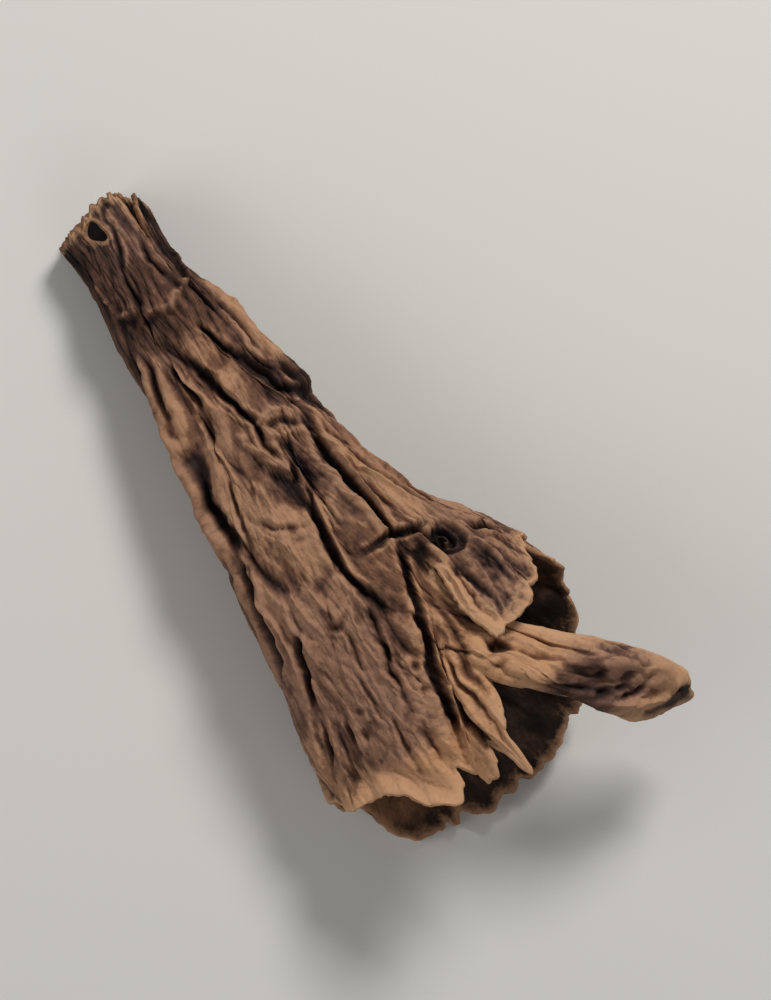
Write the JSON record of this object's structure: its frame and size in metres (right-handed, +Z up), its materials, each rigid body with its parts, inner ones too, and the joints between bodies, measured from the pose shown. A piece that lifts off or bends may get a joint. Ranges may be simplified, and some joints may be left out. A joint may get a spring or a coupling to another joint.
{
  "type": "dried black trumpet mushroom",
  "caption": "Hollow trumpet-shaped mushroom, dried and lying on its side, with a torn stem, a wrinkled outside and a split, lobed margin: a foraged food item or forest litter.",
  "frame": {"origin": "the middle of the bounding box's base, on the surface that the mushroom lies on", "axes": "+X from the torn stem end towards the mouth, +Y across the flattened trumpet, +Z up"},
  "size_m": [0.0354, 0.0178, 0.0095],
  "materials": {
    "dried_flesh": "matt and papery, dark grey-brown, lighter and tan along the torn edges and the margin"
  },
  "bodies": {
    "root": {"fruit_body": "dried_flesh"}
  },
  "joints": []
}
